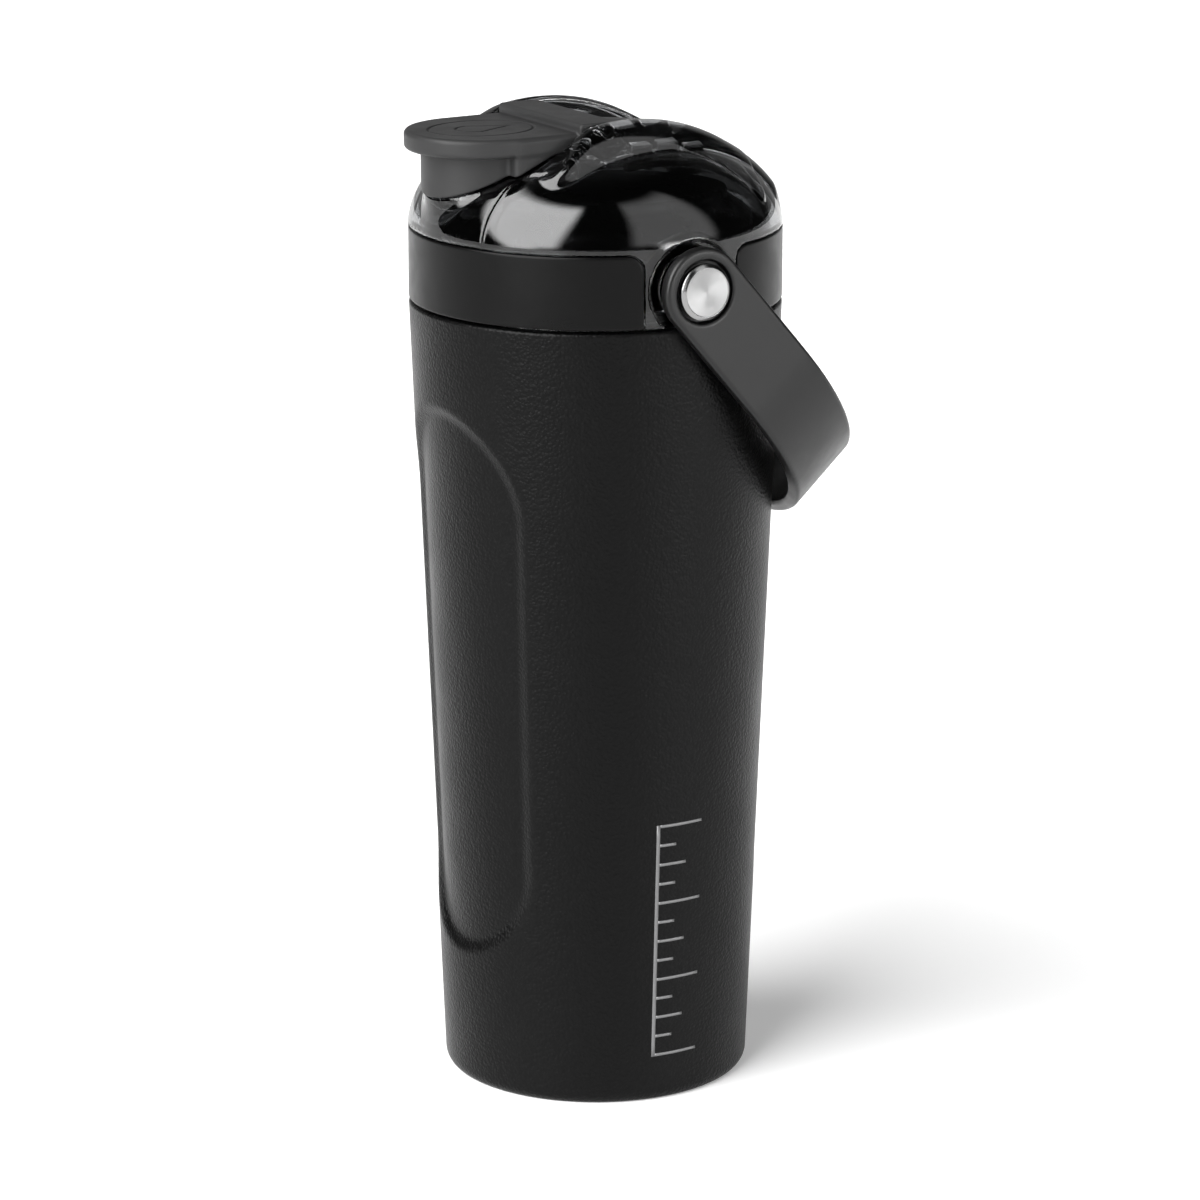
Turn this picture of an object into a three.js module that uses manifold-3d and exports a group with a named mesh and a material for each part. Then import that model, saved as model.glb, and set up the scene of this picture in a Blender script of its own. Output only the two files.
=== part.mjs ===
// Insulated shaker bottle with a screw-on lid, a flip cap over the spout and a swinging strap.
//
// Frame: millimetres, +Z up. The origin is the centre of the flat base, on the surface that the
// bottle stands on. -Y is the front, where the spout is; +Y is the back, where the strap hangs;
// the strap's two pivots lie at +X and -X.

import * as THREE from "three";
import { mergeVertices } from "three/addons/utils/BufferGeometryUtils.js";
import Module from "manifold-3d";

// ---- driving dimensions ------------------------------------------------------------------------
const GAP = 0.3; // between pieces that touch

// Body: a straight cone on a flat foot.
const BASE_RADIUS = 37;
const BODY_RADIUS = 44.5; // top of the body, and the lid above it
const BODY_HEIGHT = 191.1;
const FOOT_RADIUS = 35.1;
const FOOT_RISE = 2.9;
const SHELL_WALL = 1;
const PLATE_RADIUS = 33.9; // base plate
const PLATE_THICKNESS = 1.2;

// Thumb grips pressed into the body, front and back.
const GRIP = { depth: 1.8, topZ: 144, topHalf: 23.8, bottomZ: 57, bottomHalf: 22 };

// Inner flask, with the lid's thread at its mouth.
const FLASK_CLEARANCE = 3.6; // from the outside of the body to the outside of the flask
const FLASK_WALL = 0.8;
const FLASK_FLOOR = 6;
const MOUTH_RADIUS = 40;
const THREAD = { lead: 8, starts: 2, rootWidth: 1.9, tipWidth: 1.2, height: 4.6, bottom: 181 };

// Lid: a clear shell over a dark core.
const LID_BOTTOM = 191.8;
const BAND_TOP = 209;
const BAND_WALL = 1.2;
const DOME_HEIGHT = 27; // of the elliptical dome above the band
const LID_WALL = 3;
const COLLAR_RADIUS = 38.4; // threaded collar of the core
const CORE_RADIUS = 37.4;
const WINDOW_HALF = 12.5; // clear window between the two bands, at each pivot
const WINDOW_CORNER = 3.5;

// Cheeks: two clear ridges, each turned about an axis along X, either side of a channel.
const CHEEK = { y: -3, z: 184.7, radius: 52, drop: 7, inner: 20, outer: 27.6, front: -23.9, corner: 7 };
const CHEEK_SLOPE = { bottom: 228.2, back: -14.5, top: 235.6 }; // in front of the hinge
const CHANNEL_HALF = 19.3;

// Saddle: covers the channel behind the hinge. It curves like the dome, but lies lower and further back,
// so it starts below the cheeks and comes up level with the dome at its rear end.
const SADDLE = { half: 18.95, front: -3.5, back: 37, thickness: 2.6, shiftY: 2.5, shiftZ: -3 };

// Flip cap and its hinge.
const HINGE = { y: -10, z: 233.5, pinRadius: 1.5, pinHalf: 21.8, sweep: 6.2 };
const CAP = { y: -30.9, lipRadius: 18.2, skirtRadius: 14.3, wall: 2, top: 234.2, under: 229.7 };
const CAP_CEILING = 231.4;
const BAR = { half: 19, front: -15.4, back: -4.7, bottom: 231.6, top: 236.3 };
const DECK = { level: 229.5, brow: -21.5, slope: 0.45, radius: 13.6, half: 17.6 }; // slopes from its brow
const SPOUT = { y: -27.5, radius: 8, bore: 6.2, bottom: 210, top: 230 };

// Strap: a flat band bent to a U, hanging back and down from its pivots.
const PIVOT_Z = 200.5;
const STRAP = { inner: 45.6, outer: 49, width: 20.4, leg: 30.6, hang: 48.7 };
const SCREW = { shank: 3, head: 6.65, seat: 47.3, face: 50, bevel: 0.7 };
const INSERT_RADIUS = 4.6; // threaded insert in the boss behind each pivot
const BOSS = { radius: 12.2, inner: 38.3, outer: 43.5 };
const POCKET = { radius: 11.2, floor: 42.6 };

// Roundness of the faceted solids.
const ROUND = 44;
const FINE = 24;

// ---- solids ------------------------------------------------------------------------------------
const wasm = await Module();
wasm.setup();

const X = new THREE.Vector3(1, 0, 0);
const Y = new THREE.Vector3(0, 1, 0);
const Z = new THREE.Vector3(0, 0, 1);

// Stands a drawing made in X and Y upright, in X and Z.
const UPRIGHT = new THREE.Matrix4().makeBasis(X, Z, Y.clone().negate());

// A closed geometry as a solid, turned right side out.
function solid(geometry) {
  const bare = geometry.clone();
  bare.deleteAttribute("normal");
  bare.deleteAttribute("uv");
  const merged = mergeVertices(bare, 1e-4);
  const vertProperties = new Float32Array(merged.attributes.position.array);
  const triVerts = new Uint32Array(merged.index.array);
  const made = new wasm.Manifold(new wasm.Mesh({ numProp: 3, vertProperties, triVerts }));
  if (made.volume() > 0) return made;
  triVerts.reverse();
  return new wasm.Manifold(new wasm.Mesh({ numProp: 3, vertProperties, triVerts }));
}

function joined(solids) {
  return solids.reduce((sum, next) => sum.add(next));
}

function geometryOf(made) {
  const { vertProperties, triVerts } = made.getMesh();
  const geometry = new THREE.BufferGeometry();
  geometry.setAttribute("position", new THREE.BufferAttribute(vertProperties, 3));
  geometry.setIndex(new THREE.BufferAttribute(triVerts, 1));
  geometry.computeVertexNormals();
  return geometry;
}

// A profile of [radius, z] points, up its outer side, turned about the Z axis. It ends on the axis.
function turned(profile, segments = ROUND) {
  const points = profile.map(([radius, z]) => new THREE.Vector2(radius, z));
  return solid(new THREE.LatheGeometry(points, segments).rotateX(Math.PI / 2));
}

// A ring of rectangular section between two heights.
function ring(inner, outer, bottom, top, segments = ROUND) {
  return turned([[inner, bottom], [outer, bottom], [outer, top], [inner, top], [inner, bottom]], segments);
}

function drum(radius, bottom, top, y = 0, segments = FINE) {
  const drumShape = new THREE.CylinderGeometry(radius, radius, top - bottom, segments).rotateX(Math.PI / 2);
  return solid(drumShape.translate(0, y, (bottom + top) / 2));
}

// A rod along X between two places, about the axis at (y, z).
function rod(radius, from, to, y, z, segments = FINE) {
  const length = Math.abs(to - from);
  const rodShape = new THREE.CylinderGeometry(radius, radius, length, segments).rotateZ(Math.PI / 2);
  return solid(rodShape.translate((from + to) / 2, y, z));
}

function block(x0, x1, y0, y1, z0, z1) {
  const box = new THREE.BoxGeometry(x1 - x0, y1 - y0, z1 - z0);
  return solid(box.translate((x0 + x1) / 2, (y0 + y1) / 2, (z0 + z1) / 2));
}

// An outline in (y, z), extruded along X to both sides of the middle.
function prismAlongX(shape, half, curveSegments = 12) {
  const options = { depth: 2 * half, bevelEnabled: false, curveSegments };
  const geometry = new THREE.ExtrudeGeometry(shape, options);
  return solid(geometry.translate(0, 0, -half).applyMatrix4(new THREE.Matrix4().makeBasis(Y, Z, X)));
}

function polygon(points) {
  return new THREE.Shape(points.map(([u, v]) => new THREE.Vector2(u, v)));
}

// Points of an elliptical arc from the side (0) to the top (90 degrees).
function quarterEllipse(across, up, centreZ, steps) {
  return Array.from({ length: steps + 1 }, (_, i) => {
    const turn = (Math.PI / 2) * (i / steps);
    return [i === steps ? 0 : across * Math.cos(turn), centreZ + up * Math.sin(turn)];
  });
}

// The lid's dome, sunk by `inset`, down to a flat bottom.
function dome(inset, bottom) {
  const side = BODY_RADIUS - inset;
  return turned([[0, bottom], [side, bottom], ...quarterEllipse(side, DOME_HEIGHT - inset, BAND_TOP, 8)]);
}

// One thread ridge: a bar of trapezoid section wound on a helix about Z.
function threadRidge(rootRadius, tipRadius, bottom, start) {
  const sweep = (2 * Math.PI * (THREAD.height - THREAD.tipWidth)) / THREAD.lead;
  const steps = Math.ceil(sweep / 0.2);
  const bar = new THREE.BoxGeometry(1, 1, 1, 1, 1, steps);
  const place = bar.attributes.position;
  for (let i = 0; i < place.count; i++) {
    const height = place.getX(i) + 0.5;
    const along = place.getZ(i) + 0.5;
    const width = THREE.MathUtils.lerp(THREAD.rootWidth, THREAD.tipWidth, height);
    const radius = THREE.MathUtils.lerp(rootRadius, tipRadius, height);
    const angle = start + sweep * along;
    const z = bottom + (THREAD.lead * sweep * along) / (2 * Math.PI) + width * place.getY(i);
    place.setXYZ(i, radius * Math.cos(angle), radius * Math.sin(angle), z);
  }
  return solid(bar);
}

function threadRidges(rootRadius, tipRadius, bottom) {
  const starts = Array.from({ length: THREAD.starts }, (_, i) => (2 * Math.PI * i) / THREAD.starts);
  return joined(starts.map((start) => threadRidge(rootRadius, tipRadius, bottom, start)));
}

// ---- body --------------------------------------------------------------------------------------
function bodyRadius(z) {
  return BASE_RADIUS + ((BODY_RADIUS - BASE_RADIUS) * z) / BODY_HEIGHT;
}

// The two grips as solids that stand outside a cone `depth` below the body's surface.
function grips(depth, grow) {
  const outline = new THREE.Shape();
  outline.absarc(0, GRIP.topZ, GRIP.topHalf + grow, 0, Math.PI);
  outline.absarc(0, GRIP.bottomZ, GRIP.bottomHalf + grow, Math.PI, 2 * Math.PI);
  const reach = 2 * BODY_RADIUS;
  const options = { depth: reach, bevelEnabled: false, curveSegments: 10 };
  const through = new THREE.ExtrudeGeometry(outline, options);
  through.translate(0, 0, -reach / 2).applyMatrix4(UPRIGHT);
  const far = BODY_RADIUS + 5;
  const around = turned([
    [bodyRadius(0) - depth, 0],
    [far, 0],
    [far, BODY_HEIGHT],
    [bodyRadius(BODY_HEIGHT) - depth, BODY_HEIGHT],
    [bodyRadius(0) - depth, 0],
  ]);
  return solid(through).intersect(around);
}

function outerShell() {
  const edge = 0.8;
  const mouth = MOUTH_RADIUS + FLASK_WALL + GAP;
  const shoulder = BODY_HEIGHT - SHELL_WALL;
  const outside = turned([
    [0, 0],
    [FOOT_RADIUS, 0],
    [FOOT_RADIUS + 1.4, FOOT_RISE / 3],
    [bodyRadius(FOOT_RISE), FOOT_RISE],
    [bodyRadius(BODY_HEIGHT - edge), BODY_HEIGHT - edge],
    [BODY_RADIUS - edge, BODY_HEIGHT],
    [0, BODY_HEIGHT],
  ]);
  const inside = turned([
    [0, -1],
    [PLATE_RADIUS + GAP, -1],
    [PLATE_RADIUS + GAP, SHELL_WALL],
    [bodyRadius(FOOT_RISE) - SHELL_WALL, FOOT_RISE + SHELL_WALL],
    [bodyRadius(shoulder) - SHELL_WALL, shoulder],
    [mouth, shoulder],
    [mouth, BODY_HEIGHT + 1],
    [0, BODY_HEIGHT + 1],
  ]);
  const cavity = inside.subtract(grips(GRIP.depth + SHELL_WALL, SHELL_WALL));
  return outside.subtract(grips(GRIP.depth, 0)).subtract(cavity);
}

function basePlate() {
  const edge = 0.4;
  return turned([
    [0, 0],
    [PLATE_RADIUS - edge, 0],
    [PLATE_RADIUS, edge],
    [PLATE_RADIUS, PLATE_THICKNESS],
    [0, PLATE_THICKNESS],
  ]);
}

function getter() {
  const bottom = PLATE_THICKNESS + GAP;
  return drum(5.5, bottom, bottom + 2);
}

function flaskOutline(inset) {
  const wall = (z) => bodyRadius(z) - FLASK_CLEARANCE - inset;
  const floor = FLASK_FLOOR + inset;
  return [
    [27 - inset, floor],
    [31.4 - inset, floor + 2.2],
    [wall(15), 15],
    [wall(166), 166],
    [MOUTH_RADIUS + FLASK_WALL - inset, 174],
  ];
}

function innerFlask() {
  const wall = turned([
    [0, FLASK_FLOOR],
    ...flaskOutline(0),
    [MOUTH_RADIUS + FLASK_WALL, BODY_HEIGHT],
    [MOUTH_RADIUS, BODY_HEIGHT],
    ...flaskOutline(FLASK_WALL).reverse(),
    [0, FLASK_FLOOR + FLASK_WALL],
  ]);
  const embed = 0.4;
  return wall.add(threadRidges(MOUTH_RADIUS + embed, MOUTH_RADIUS - 1.1, THREAD.bottom));
}

// ---- lid ---------------------------------------------------------------------------------------
const FLANGE_RADIUS = BODY_RADIUS - LID_WALL - GAP - 0.2;
const FLANGE_BOTTOM = BODY_HEIGHT + 1.8;
const BOSS_BOTTOM = 195.2; // underside of the bosses that hold the pivots

function lidCore() {
  const collarBottom = 178;
  const flangeTop = BOSS_BOTTOM - GAP;
  const wall = 2.2;
  const shoulder = 210;
  const top = 220;
  const outside = turned([
    [0, collarBottom],
    [COLLAR_RADIUS, collarBottom],
    [COLLAR_RADIUS, FLANGE_BOTTOM],
    [FLANGE_RADIUS, FLANGE_BOTTOM],
    [FLANGE_RADIUS, flangeTop],
    [CORE_RADIUS, flangeTop],
    ...quarterEllipse(CORE_RADIUS, top - shoulder, shoulder, 7).slice(0, 5),
    [0, top],
  ]);
  const inside = turned([
    [0, collarBottom - 1],
    [COLLAR_RADIUS - wall, collarBottom - 1],
    [COLLAR_RADIUS - wall, flangeTop],
    ...quarterEllipse(CORE_RADIUS - wall, top - wall - shoulder, shoulder, 7).slice(0, 5),
    [0, top - wall],
  ]);
  const embed = 0.4;
  const midway = THREAD.lead / THREAD.starts / 2; // puts the lid's ridges midway between the flask's
  const thread = threadRidges(COLLAR_RADIUS - embed, COLLAR_RADIUS + 1.2, THREAD.bottom - midway);
  const spoutHole = drum(SPOUT.radius + GAP, 200, 230, SPOUT.y);
  return outside.add(thread).subtract(inside).subtract(spoutHole);
}

function lidGasket() {
  const bottom = BODY_HEIGHT + GAP;
  return ring(COLLAR_RADIUS + GAP, FLANGE_RADIUS, bottom, FLANGE_BOTTOM - GAP);
}

// The sloping deck under the cap, with a well for the hinge bar, as an outline in (y, z) of the
// space above it. `sink` lowers it and `grow` widens the well.
function aboveDeck(sink, grow) {
  const radius = HINGE.sweep + grow;
  const level = DECK.level - sink;
  const shape = new THREE.Shape();
  shape.moveTo(-60, level - (60 + DECK.brow) * DECK.slope);
  shape.lineTo(DECK.brow, level);
  shape.absarc(HINGE.y, HINGE.z, radius, Math.PI + Math.asin((HINGE.z - level) / radius), 2 * Math.PI);
  shape.lineTo(HINGE.y + radius, 250);
  shape.lineTo(-60, 250);
  return shape;
}

// The channel between the cheeks, over the deck in front and under the saddle behind.
function channel(sink) {
  const half = CHANNEL_HALF + sink;
  const overlap = 1;
  const rear = block(-half, half, HINGE.y + HINGE.sweep - overlap, SADDLE.back + GAP + sink, 205, 250);
  const under = saddleDome(SADDLE.thickness + GAP + sink, 200);
  return prismAlongX(aboveDeck(sink, sink), half).add(rear.subtract(under));
}

// The dome that the saddle follows, sunk by `inset`.
function saddleDome(inset, bottom) {
  return dome(inset, bottom).translate([0, SADDLE.shiftY, SADDLE.shiftZ]);
}

function saddle() {
  const { half, front, back, thickness } = SADDLE;
  const strip = block(-half, half, front, back, 210, 250);
  return strip.intersect(dome(0, 205)).intersect(saddleDome(0, 205)).subtract(saddleDome(thickness, 200));
}

// The outline of both cheeks from above: rounded front corners, and inside the dome's side.
function cheekPlan() {
  const { front, corner } = CHEEK;
  const half = CHEEK.outer + 1;
  const back = 60;
  const shape = new THREE.Shape();
  shape.moveTo(-half, back);
  shape.absarc(-half + corner, front + corner, corner, Math.PI, 1.5 * Math.PI);
  shape.absarc(half - corner, front + corner, corner, 1.5 * Math.PI, 2 * Math.PI);
  shape.lineTo(half, back);
  const plan = new THREE.ExtrudeGeometry(shape, { depth: 35, bevelEnabled: false, curveSegments: 6 });
  const withinDome = drum(BODY_RADIUS - 0.8, 206, 239, 0, ROUND);
  return solid(plan.translate(0, 0, 205)).intersect(withinDome);
}

// One cheek: a shouldered disc about an axis along X, cut off by a slope in front of the hinge.
function cheek(side) {
  const { y, z, radius, drop, inner, outer } = CHEEK;
  const steps = 4;
  const shoulder = Array.from({ length: steps + 1 }, (_, i) => {
    const turn = (Math.PI / 2) * (i / steps);
    return [radius - drop + drop * Math.cos(turn), inner + (outer - inner) * Math.sin(turn)];
  });
  const profile = [[0, CHANNEL_HALF - 2], [radius - 0.4, CHANNEL_HALF - 2], ...shoulder, [0, outer]];
  const points = profile.map(([r, x]) => new THREE.Vector2(r, x));
  const disc = new THREE.LatheGeometry(points, 52).rotateZ(-Math.PI / 2);
  if (side < 0) disc.rotateY(Math.PI);
  const { front } = CHEEK;
  const { bottom, back, top } = CHEEK_SLOPE;
  const slope = [[front, 215], [front, bottom], [back, top], [back, 240]];
  const outline = polygon([...slope, [SADDLE.back, 240], [SADDLE.back, 213]]);
  return solid(disc.translate(0, y, z)).intersect(prismAlongX(outline, 30)).intersect(cheekPlan());
}

// Open cells moulded into the underside of a cheek, with ribs left between them.
function cheekCells(side) {
  const cells = [[-20, -14, 229], [-5.5, 0, 231], [1.5, 7, 231], [8.5, 14, 229.5]];
  const near = 21.3;
  const far = 25;
  return joined(
    cells.map(([y0, y1, top]) => {
      return side > 0 ? block(near, far, y0, y1, 222, top) : block(-far, -near, y0, y1, 222, top);
    }),
  );
}

// The window between the bands at both pivots, as an outline in (y, z).
function windowOutline(grow) {
  const half = WINDOW_HALF + grow;
  const corner = WINDOW_CORNER;
  const top = BAND_TOP - grow + corner / 12; // the corner meets the band's top edge at a slant
  const shape = new THREE.Shape();
  shape.moveTo(-half, LID_BOTTOM - 5);
  shape.lineTo(half, LID_BOTTOM - 5);
  shape.absarc(half + corner, top - corner, corner, Math.PI, Math.PI / 2, true);
  shape.lineTo(half + corner, BAND_TOP + 5);
  shape.lineTo(-half - corner, BAND_TOP + 5);
  shape.absarc(-half - corner, top - corner, corner, Math.PI / 2, 0, true);
  return shape;
}

function lidShell() {
  const deck = drum(DECK.radius, BAND_TOP + 1, 240, CAP.y)
    .add(block(-DECK.half, DECK.half, CAP.y, -16, BAND_TOP + 2, 240));
  const bossRod = (side) => rod(BOSS.radius, side * BOSS.inner, side * BOSS.outer, 0, PIVOT_Z);
  const bosses = joined([1, -1].map(bossRod)).intersect(drum(BODY_RADIUS - 0.2, BOSS_BOTTOM, 230, 0, ROUND));
  const outside = joined([dome(0, LID_BOTTOM), cheek(1), cheek(-1), deck]).subtract(channel(0));
  const hollow = dome(LID_WALL, LID_BOTTOM - 1).subtract(channel(LID_WALL - 0.6));
  const bandSeat = ring(BODY_RADIUS - BAND_WALL - GAP, BODY_RADIUS + 2, LID_BOTTOM - 1, BAND_TOP + GAP)
    .subtract(prismAlongX(windowOutline(-GAP), 60));
  const pockets = joined([1, -1].map((side) => {
    return rod(POCKET.radius, side * POCKET.floor, side * 55, 0, PIVOT_Z);
  }));
  const insertHoles = joined([1, -1].map((side) => {
    return rod(INSERT_RADIUS + GAP, side * (BOSS.inner - 1), side * BOSS.outer, 0, PIVOT_Z);
  }));
  const pinHole = rod(HINGE.pinRadius + GAP, -HINGE.pinHalf - GAP, HINGE.pinHalf + GAP, HINGE.y, HINGE.z);
  const spoutHole = drum(SPOUT.radius + GAP, 205, 240, SPOUT.y);
  const cuts = joined([bandSeat, pockets, insertHoles, pinHole, spoutHole, cheekCells(1), cheekCells(-1)]);
  return outside.subtract(hollow).add(bosses).subtract(cuts);
}

// A band round the front (side -1) or the back (side 1) of the lid.
function lidBand(side) {
  const edge = 0.4;
  const inner = BODY_RADIUS - BAND_WALL;
  const whole = turned([
    [inner, LID_BOTTOM],
    [BODY_RADIUS - edge, LID_BOTTOM],
    [BODY_RADIUS, LID_BOTTOM + edge],
    [BODY_RADIUS, BAND_TOP - edge],
    [BODY_RADIUS - edge, BAND_TOP],
    [inner, BAND_TOP],
    [inner, LID_BOTTOM],
  ]).subtract(prismAlongX(windowOutline(0), 60));
  const half = side < 0 ? block(-60, 60, -60, 0, 180, 220) : block(-60, 60, 0, 60, 180, 220);
  return whole.intersect(half);
}

function spout() {
  const edge = 0.5;
  const { radius, bore, bottom, top } = SPOUT;
  const tube = turned([
    [bore, bottom],
    [radius, bottom],
    [radius, top - edge],
    [radius - edge, top],
    [bore, top],
    [bore, bottom],
  ], FINE);
  return tube.translate([0, SPOUT.y, 0]);
}

// ---- flip cap ----------------------------------------------------------------------------------
// A tongue-shaped plan: half a circle in front, straight sides back to `back`.
function tongue(radius, back, bottom, top, bevel = 0) {
  const shape = new THREE.Shape();
  const inner = radius - bevel;
  shape.absarc(0, CAP.y, inner, Math.PI, 2 * Math.PI);
  shape.lineTo(inner, back - bevel);
  shape.lineTo(-inner, back - bevel);
  const options = { depth: top - bottom - 2 * bevel, curveSegments: 24, bevelEnabled: bevel > 0 };
  Object.assign(options, { bevelThickness: bevel, bevelSize: bevel, bevelSegments: 2 });
  return solid(new THREE.ExtrudeGeometry(shape, options).translate(0, 0, bottom + bevel));
}

function hingeBar() {
  const { half, front, back, bottom, top } = BAR;
  const corner = 1.6;
  const shape = new THREE.Shape();
  shape.absarc(back - corner, top - corner, corner, 0, Math.PI / 2);
  shape.absarc(front + corner, top - corner, corner, Math.PI / 2, Math.PI);
  shape.absarc(front + corner, bottom + corner, corner, Math.PI, Math.PI * 1.5);
  shape.absarc(back - corner, bottom + corner, corner, Math.PI * 1.5, 2 * Math.PI);
  return prismAlongX(shape, half, 4);
}

function flipCap() {
  const { y, lipRadius, skirtRadius, wall, top, under } = CAP;
  const floor = 212;
  const sideStart = -32;
  const plate = tongue(lipRadius, -13.8, under, top, 0.7);
  const skirt = drum(skirtRadius, floor, top - 1, y)
    .add(block(-lipRadius, lipRadius, sideStart, -16, floor, top - 1));
  const inside = drum(skirtRadius - wall, floor - 1, CAP_CEILING, y).add(
    block(-lipRadius + 3.4, lipRadius - 3.4, y, -18, floor - 1, CAP_CEILING),
  );
  const underDeck = block(-30, 30, -59, HINGE.y, 200, 240).subtract(prismAlongX(aboveDeck(-0.4, -GAP), 40));
  const pinHole = rod(HINGE.pinRadius + GAP, -30, 30, HINGE.y, HINGE.z);
  return joined([plate, skirt, hingeBar()]).subtract(inside).subtract(underDeck).subtract(pinHole);
}

function capPlug() {
  const disc = drum(8.6, SPOUT.top + GAP, CAP_CEILING - GAP, SPOUT.y);
  return disc.add(drum(5.6, SPOUT.top - 1.4, SPOUT.top + 0.5, SPOUT.y));
}

// ---- strap and its pivots ----------------------------------------------------------------------
// The strap is drawn flat, its legs along +X and its width along Z, then swung to its hang angle.
function strap() {
  const { inner, outer, width, leg, hang } = STRAP;
  const bevel = 0.7;
  const shape = new THREE.Shape();
  shape.moveTo(0, -outer + bevel);
  shape.absarc(leg, 0, outer - bevel, -Math.PI / 2, Math.PI / 2);
  shape.lineTo(0, outer - bevel);
  shape.lineTo(0, inner + bevel);
  shape.absarc(leg, 0, inner + bevel, Math.PI / 2, -Math.PI / 2, true);
  shape.lineTo(0, -inner - bevel);
  const band = new THREE.ExtrudeGeometry(shape, {
    depth: width - 2 * bevel,
    curveSegments: 16,
    bevelThickness: bevel,
    bevelSize: bevel,
    bevelSegments: 1,
  }).translate(0, 0, -width / 2 + bevel);
  const lie = new THREE.Matrix4().makeBasis(Y, X, Z.clone().negate());
  const swing = new THREE.Matrix4().makeRotationX(-THREE.MathUtils.degToRad(hang));
  const place = new THREE.Matrix4().makeTranslation(0, 0, PIVOT_Z);
  const bent = solid(band.applyMatrix4(lie).applyMatrix4(swing).applyMatrix4(place));
  const sides = [1, -1];
  const ends = sides.map((side) => rod(width / 2, side * inner, side * outer, 0, PIVOT_Z));
  const bore = SCREW.shank + 0.4;
  const holes = sides.map((side) => rod(bore, side * (inner - 1), side * (outer + 1), 0, PIVOT_Z));
  const seats = sides.map((side) => rod(7.5, side * (SCREW.seat - GAP), side * (outer + 1), 0, PIVOT_Z));
  const beyond = new THREE.BoxGeometry(2 * inner + 8, width + 2, width + 2);
  const behind = solid(beyond.translate(0, -width / 2 - 1, 0).applyMatrix4(swing).applyMatrix4(place));
  return bent.subtract(behind).add(joined(ends)).subtract(joined([...holes, ...seats]));
}

// Pivot screw: a round head with a bevelled rim on a plain shank, turned about X.
function pivotScrew(side) {
  const { shank, head, seat, face, bevel } = SCREW;
  const profile = [
    [0, 38.8],
    [shank, 38.8],
    [shank, seat],
    [head, seat],
    [head, face - bevel],
    [head - bevel, face],
    [0, face],
  ];
  const points = profile.map(([radius, x]) => new THREE.Vector2(radius, x));
  const made = new THREE.LatheGeometry(points, FINE).rotateZ(-Math.PI / 2);
  if (side < 0) made.rotateY(Math.PI);
  return solid(made.translate(0, 0, PIVOT_Z));
}

// A ring about a pivot's screw, between two distances from the middle.
function pivotRing(side, outer, from, to) {
  const bore = rod(SCREW.shank + GAP, side * (from - 1), side * (to + 1), 0, PIVOT_Z);
  return rod(outer, side * from, side * to, 0, PIVOT_Z).subtract(bore);
}

function pivotBush(side) {
  return pivotRing(side, 8.2, POCKET.floor + GAP, STRAP.inner - GAP);
}

function pivotInsert(side) {
  return pivotRing(side, INSERT_RADIUS, 38.6, POCKET.floor - GAP);
}

// ---- agitator ----------------------------------------------------------------------------------
// A drop-in mixer under the lid: a rim that sits in the collar, and a dished grid of blades and
// rings hung from it.
function agitator() {
  const bladeCount = 8;
  const thickness = 1.6;
  const rim = ring(33.4, 35.8, 178.5, 182.5);
  const middle = ring(18.4, 20.4, 154, 161, 32);
  const hub = drum(5, 149, 163, 0, 16);
  const blades = Array.from({ length: bladeCount }, (_, i) => {
    const outline = polygon([[3, 151], [26, 155.5], [33, 166], [34.6, 181], [33, 181], [29, 170], [3, 160]]);
    const plate = new THREE.ExtrudeGeometry(outline, { depth: thickness, bevelEnabled: false });
    plate.translate(0, 0, -thickness / 2).applyMatrix4(UPRIGHT);
    return solid(plate.rotateZ((2 * Math.PI * i) / bladeCount));
  });
  return joined([rim, middle, hub, ...blades]);
}

// ---- assembly ----------------------------------------------------------------------------------
function finish(color, roughness, metalness) {
  return new THREE.MeshStandardMaterial({ color, roughness, metalness });
}

const powderCoat = finish(0x2b2b2c, 0.62, 0.1);
const brushedSteel = finish(0xc8c8c8, 0.3, 1);
const polishedSteel = finish(0xd8d8d8, 0.12, 1);
const brass = finish(0xb08d4a, 0.3, 1);
const blackPlastic = finish(0x1b1b1c, 0.5, 0);
const satinPlastic = finish(0x343435, 0.42, 0);
const matteGrey = finish(0x3d3d3e, 0.7, 0);
const blackSilicone = finish(0x202021, 0.8, 0);
const smokedClear = new THREE.MeshStandardMaterial({
  color: 0x5a5c5e,
  roughness: 0.05,
  metalness: 0,
  transparent: true,
  opacity: 0.45,
});

const bottle = new THREE.Group();

function add(name, made, material) {
  const mesh = new THREE.Mesh(geometryOf(made), material);
  mesh.name = name;
  bottle.add(mesh);
}

add("outer_shell", outerShell(), powderCoat);
add("inner_flask", innerFlask(), brushedSteel);
add("base_plate", basePlate(), brushedSteel);
add("vacuum_getter", getter(), brushedSteel);
add("lid_shell", lidShell(), smokedClear);
add("lid_core", lidCore(), blackPlastic);
add("lid_gasket", lidGasket(), blackSilicone);
add("lid_band_front", lidBand(-1), satinPlastic);
add("lid_band_rear", lidBand(1), satinPlastic);
add("lid_saddle", saddle(), matteGrey);
add("spout", spout(), smokedClear);
add("cap_hinge_pin", rod(HINGE.pinRadius, -HINGE.pinHalf, HINGE.pinHalf, HINGE.y, HINGE.z), polishedSteel);
add("flip_cap", flipCap(), matteGrey);
add("cap_plug", capPlug(), blackSilicone);
add("carry_strap", strap(), satinPlastic);
add("agitator", agitator(), blackPlastic);
for (const [suffix, side] of [["right", 1], ["left", -1]]) {
  add(`pivot_screw_${suffix}`, pivotScrew(side), brushedSteel);
  add(`pivot_bush_${suffix}`, pivotBush(side), polishedSteel);
  add(`pivot_insert_${suffix}`, pivotInsert(side), brass);
}

export default bottle;
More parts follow.
